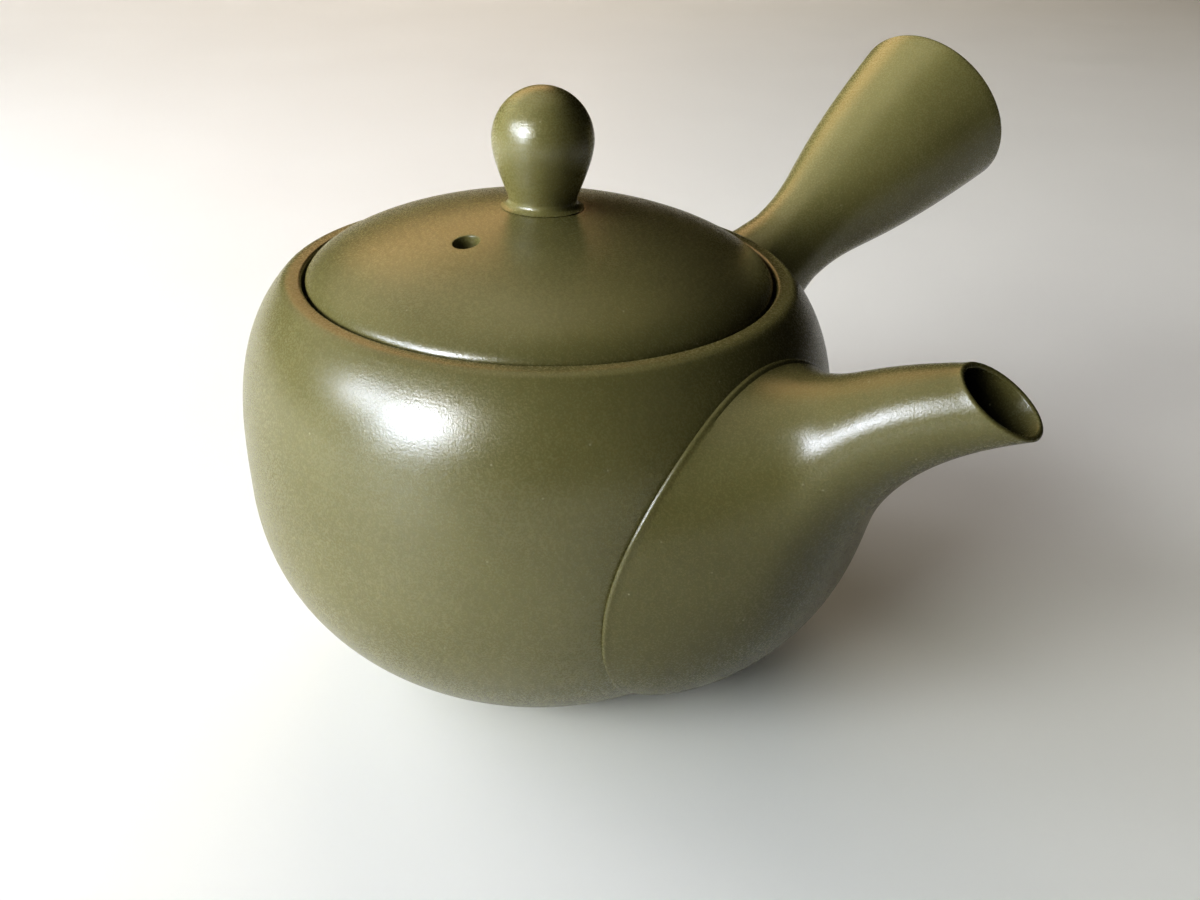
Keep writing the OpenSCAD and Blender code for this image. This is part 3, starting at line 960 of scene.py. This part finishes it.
class TEAPOT_OT_lid(bpy.types.Operator):
    """Turns the domed lid with its locating ring and steam hole"""

    bl_idname = "teapot.lid"
    bl_label = "Lid"

    def execute(self, context):
        lid, pot = context.scene.teapot_lid, context.scene.teapot_pot
        bm = spin_profile(lid_outline(lid, pot), LID_SIDES)
        levels = rim_levels(pot, lid)
        r, soft = lid.steam_hole / 2, STEAM_ROUND
        top = dome_height(lid, levels, lid.steam_offset)
        near = dome_height(lid, levels, lid.steam_offset - r)
        beyond = dome_height(lid, levels, lid.steam_offset + r)
        run = [(0.0, levels["base"]), (r, levels["base"])]
        run += arc(r + soft, top - soft, -soft, soft, 0, 80, 6)
        run += [(run[-1][0] + 2 * soft, top + DRILL_ABOVE), (0.0, top + DRILL_ABOVE)]
        drill = spin_profile(run, STEAM_SIDES)
        slope = (beyond - near) / (2 * r)
        for vert in drill.verts:
            if vert.co.z > levels["base"] + DRILL_LEVEL:
                vert.co.z += slope * vert.co.x
        turned = Matrix.Rotation(lid.steam_angle, 4, "Z") @ Matrix.Translation((lid.steam_offset, 0, 0))
        bmesh.ops.transform(drill, matrix=turned, verts=drill.verts)
        make_piece(cut_with(bm, drill), "lid_dome", LID_BODY, ["lid"],
                   clay_material("Lid clay", axis=(0.0, 0.0, 0.0), radial=1.0, lines=0.5))
        return {"FINISHED"}


# chamfer under the knob's collar, and the pulls of its curves below and above the neck
COLLAR_CHAMFER = 0.1 * MM
COLLAR_PULL = (0.8 * MM, 0.1 * MM)
NECK_PULL_DOWN = 0.6 * MM
NECK_PULL_UP = 0.8 * MM
PEAR_PULL = 3.2 * MM


class TEAPOT_OT_knob(bpy.types.Operator):
    """Turns the pear-shaped knob on its flared collar"""

    bl_idname = "teapot.knob"
    bl_label = "Knob"

    def execute(self, context):
        lid, pot = context.scene.teapot_lid, context.scene.teapot_pot
        seat = dome_height(lid, rim_levels(pot, lid), lid.collar_radius)
        low = (lid.neck_radius, seat + lid.neck_height)
        full = (lid.knob_radius, seat + lid.knob_height - lid.knob_radius)
        foot = (lid.collar_radius, seat + COLLAR_CHAMFER)
        run = [(0.0, seat), (lid.collar_radius - COLLAR_CHAMFER, seat)]
        run += cubic_run(
            foot, (foot[0] - COLLAR_PULL[0], foot[1] + COLLAR_PULL[1]),
            (low[0], low[1] - NECK_PULL_DOWN), low, 14,
        )
        run += cubic_run(
            low, (low[0], low[1] + NECK_PULL_UP), (full[0], full[1] - PEAR_PULL), full, 24
        )
        run += arc(0.0, full[1], full[0], full[0], 0, 90, 32)
        # painted light: the knob's clay is made 1.2 times paler to stand in for light falling on it
        make_piece(spin_profile(run, KNOB_SIDES), "knob_pear", LID_BODY, ["knob"],
                   clay_material("Knob clay", lines=1.7, painted_shading_gain=1.2))
        return {"FINISHED"}


# point that the lamps face, in metres
POT_MIDDLE = (0.0, 0.0, 0.05)


def from_direction(azimuth, elevation, distance, centre=POT_MIDDLE):
    """A point at a distance from the teapot, azimuth from the spout, angles in degrees."""
    a, e = math.radians(azimuth), math.radians(elevation)
    way = Vector((math.cos(a) * math.cos(e), math.sin(a) * math.cos(e), math.sin(e)))
    return Vector(centre) + way * distance


class Lamp(NamedTuple):
    """A soft light: its place, its size in metres, its share of one of the stage's powers and its tint"""

    name: str
    azimuth: float
    elevation: float
    distance: float
    size: tuple
    power: str
    share: float
    tint: tuple
    roll: float = 0.0
    spread: float = 180.0
    aim: tuple = POT_MIDDLE
    pieces: str = ""


FAR_TABLE = tuple(from_direction(110, 0, 0.7, (0.0, 0.0, 0.0)))
DAYLIGHT = (0.97, 1.0, 0.97)
SPOUT_TINT = (0.92, 0.97, 1.14)

# lamps that give the shading
SHADING_LAMPS = (
    Lamp("Window", -100, 22, 1.4, (0.9, 0.7), "window_power", 1.0, DAYLIGHT),
    Lamp("Side pane", -120, 22, 1.4, (0.9, 0.7), "window_power", 0.23, (0.92, 0.94, 1.1)),
    Lamp("Wide window", -120, 26, 2.6, (1.6, 1.2), "window_power", 0.65, (0.95, 1.0, 0.95)),
    Lamp("Left edge", -145, 24, 0.55, (0.3, 0.24), "window_power", 0.032, (0.92, 0.96, 1.1)),
    Lamp("Left sky", -167, 26, 2.6, (1.6, 1.2), "fill_power", 0.88, (0.98, 0.96, 1.0)),
    Lamp("Far side", 140, 28, 2.8, (1.6, 1.2), "fill_power", 0.95, (1.0, 0.88, 0.7)),
    Lamp("Back of the table", 110, 62, 1.5, (1.6, 0.8), "fill_power", 0.014, (0.9, 0.96, 1.0),
         spread=110, aim=FAR_TABLE),
    Lamp("Low window", -112, 7, 1.4, (0.9, 0.2), "window_power", 0.16, DAYLIGHT),
)

# lamps that give only the gleams on the clay
GLEAM_LAMPS = (
    Lamp("Low window gleam", -96, 18.5, 1.5, (0.52, 0.66), "gleam_power", 1.0, (0.88, 0.98, 1.2),
         roll=15, pieces=SPOUT_SPARED),
    Lamp("Window gleam", -91, 21.5, 1.5, (0.4, 0.4), "gleam_power", 1.0, (0.9, 0.98, 1.25),
         roll=15, pieces=SPOUT_SPARED),
    Lamp("High window gleam", -88, 27, 1.5, (0.4, 0.4), "gleam_power", 1.0, (1.0, 1.0, 1.05),
         roll=15, pieces=SPOUT_SPARED),
    Lamp("Side pane gleam", -118, 24, 1.5, (0.34, 0.26), "gleam_power", 0.7, (0.9, 0.96, 1.16),
         roll=25),
    Lamp("Ceiling gleam", -165, 66, 1.6, (1.6, 1.4), "warm_power", 0.5, (1.0, 0.9, 0.95)),
    Lamp("Top gleam", 130, 72, 1.6, (1.4, 1.2), "warm_power", 0.5, (1.0, 0.87, 0.45)),
    Lamp("Left gleam", -175, 35, 2.2, (1.3, 1.0), "warm_power", 0.5, (1.0, 0.87, 0.65)),
    Lamp("Warm gleam", 148, 30, 2.2, (1.3, 1.0), "warm_power", 1.0, (1.0, 0.62, 0.33)),
    Lamp("Spout gleam", -115, 17, 1.5, (0.5, 0.34), "gleam_power", 1.5, SPOUT_TINT, pieces=SPOUT_ONLY),
    Lamp("Spout streak", -122, 33, 1.5, (0.25, 0.5), "gleam_power", 0.9, SPOUT_TINT, pieces=SPOUT_ONLY),
)


def hang_lamp(lamp, stage, gleam):
    """Hangs an unseen rectangular light that gives either the shading or the gleams."""
    light = bpy.data.lights.new(lamp.name, "AREA")
    light.shape = "RECTANGLE"
    light.size, light.size_y = lamp.size
    light.energy = lamp.share * getattr(stage, lamp.power)
    light.color = lamp.tint
    light.spread = math.radians(lamp.spread)
    hung = bpy.data.objects.new(lamp.name, light)
    bpy.context.scene.collection.objects.link(hung)
    hung.location = from_direction(lamp.azimuth, lamp.elevation, lamp.distance)
    facing = (Vector(lamp.aim) - hung.location).to_track_quat("-Z", "Y").to_matrix()
    hung.rotation_euler = (facing @ Matrix.Rotation(math.radians(lamp.roll), 3, "Z")).to_euler()
    hung.visible_camera = False
    hung.visible_diffuse = not gleam
    hung.visible_glossy = gleam
    if lamp.pieces:
        hung.light_linking.receiver_collection = light_link(lamp.pieces)


# the table's size and how far it lies below the foot, in metres
TABLE_RADIUS = 3.0
TABLE_DROP = 0.15 * MM
# waves of its unevenness per metre, and the changes in tone and roughness that they make
CLOUD_WAVES = 14.0
CLOUD_SPAN = (0.3, 0.7)
CLOUD_TONE = 0.985
TABLE_ROUGHNESS = (0.44, 0.5)
TABLE_SHINE = 0.2


def table_material(tint):
    """Pale satin table top with a faint unevenness."""
    material, nodes, skin, place = new_material("Pale table")
    cloud = nodes.noise(place, CLOUD_WAVES)
    shade = nodes.blend(nodes.ramp(cloud, *CLOUD_SPAN), paint(tint, CLOUD_TONE), paint(tint))
    nodes.join(shade, skin.inputs["Base Color"])
    nodes.join(nodes.ramp(cloud, *CLOUD_SPAN, *TABLE_ROUGHNESS), skin.inputs["Roughness"])
    skin.inputs["Specular IOR Level"].default_value = TABLE_SHINE
    return material


def lay_table(stage):
    """Lays the round table top just under the foot."""
    bm = bmesh.new()
    bmesh.ops.create_circle(
        bm, cap_ends=True, segments=TABLE_SIDES, radius=TABLE_RADIUS,
        matrix=Matrix.Translation((0, 0, -TABLE_DROP)),
    )
    table = new_object("table_top", bm)
    table.data.materials.append(table_material(stage.table))


def dim_room(stage):
    """A dim room for the light, with a pale wall where the camera sees past the table."""
    world = bpy.data.worlds.new("Dim room")
    world.use_nodes = True
    nodes = Nodes(world.node_tree)
    dim = world.node_tree.nodes["Background"]
    dim.inputs["Color"].default_value = paint(stage.room)
    dim.inputs["Strength"].default_value = stage.room_power
    pale = nodes.add("ShaderNodeBackground")
    pale.inputs["Color"].default_value = paint(stage.wall)
    seen = nodes.add("ShaderNodeMixShader")
    nodes.join(nodes.add("ShaderNodeLightPath").outputs["Is Camera Ray"], seen.inputs["Fac"])
    nodes.join(dim.outputs["Background"], seen.inputs[1])
    nodes.join(pale.outputs["Background"], seen.inputs[2])
    nodes.join(seen.outputs["Shader"], world.node_tree.nodes["World Output"].inputs["Surface"])
    bpy.context.scene.world = world


# the camera's place, and its right, up and back directions
CAMERA_PLACE = Vector((104.86, -103.53, 116.70)) * MM
CAMERA_RIGHT = Vector((0.73677, 0.67529, 0.03344))
CAMERA_UP = Vector((-0.35948, 0.34937, 0.86528))
CAMERA_BACK = Vector((0.57263, -0.64953, 0.50018))
CAMERA_WIDTH_MM = 36.0
CAMERA_NEAREST = 5 * MM


def set_camera(stage):
    """Sets the camera at the photograph's viewing angle."""
    camera = bpy.data.cameras.new("Photo camera")
    camera.lens = stage.lens
    camera.sensor_width = CAMERA_WIDTH_MM
    camera.sensor_fit = "HORIZONTAL"
    camera.clip_start = CAMERA_NEAREST
    camera.dof.use_dof = False
    eye = bpy.data.objects.new("Photo camera", camera)
    bpy.context.scene.collection.objects.link(eye)
    turned = Matrix((CAMERA_RIGHT, CAMERA_UP, CAMERA_BACK)).transposed()
    eye.matrix_world = Matrix.Translation(CAMERA_PLACE) @ turned.to_4x4()
    bpy.context.scene.camera = eye


class TEAPOT_OT_stage(bpy.types.Operator):
    """Sets the pale table, the soft lights and the camera"""

    bl_idname = "teapot.stage"
    bl_label = "Stage"

    def execute(self, context):
        stage = context.scene.teapot_stage
        lay_table(stage)
        dim_room(stage)
        for lamp in SHADING_LAMPS:
            hang_lamp(lamp, stage, gleam=False)
        for lamp in GLEAM_LAMPS:
            hang_lamp(lamp, stage, gleam=True)
        set_camera(stage)
        context.scene.view_settings.view_transform = "Standard"
        context.scene.view_settings.look = "High Contrast"
        return {"FINISHED"}


class TEAPOT_PT_panel(bpy.types.Panel):
    """Lists the teapot's pieces and their settings"""

    bl_idname = "TEAPOT_PT_panel"
    bl_label = "Teapot"
    bl_space_type = "VIEW_3D"
    bl_region_type = "UI"
    bl_category = "Teapot"

    def draw(self, context):
        for operator in OPERATORS:
            self.layout.operator(operator.bl_idname)
        for key, group in SETTINGS.items():
            box = self.layout.box()
            box.label(text=group.__doc__)
            settings = getattr(context.scene, key)
            for name in group.__annotations__:
                box.prop(settings, name)


OPERATORS = (
    TEAPOT_OT_stage,
    TEAPOT_OT_pot,
    TEAPOT_OT_strainer,
    TEAPOT_OT_spout,
    TEAPOT_OT_handle,
    TEAPOT_OT_lid,
    TEAPOT_OT_knob,
)


def register():
    """Registers the settings, the operators and the panel."""
    for key, group in SETTINGS.items():
        bpy.utils.register_class(group)
        setattr(bpy.types.Scene, key, PointerProperty(type=group))
    for cls in (*OPERATORS, TEAPOT_PT_panel):
        bpy.utils.register_class(cls)


def unregister():
    """Takes back what register did."""
    for cls in reversed((*OPERATORS, TEAPOT_PT_panel)):
        bpy.utils.unregister_class(cls)
    for key, group in SETTINGS.items():
        delattr(bpy.types.Scene, key)
        bpy.utils.unregister_class(group)


def main():
    """Builds the stage and the teapot."""
    register()
    bpy.ops.teapot.stage()
    bpy.ops.teapot.pot()
    bpy.ops.teapot.strainer()
    bpy.ops.teapot.spout()
    bpy.ops.teapot.handle()
    bpy.ops.teapot.lid()
    bpy.ops.teapot.knob()


if __name__ == "__main__":
    main()
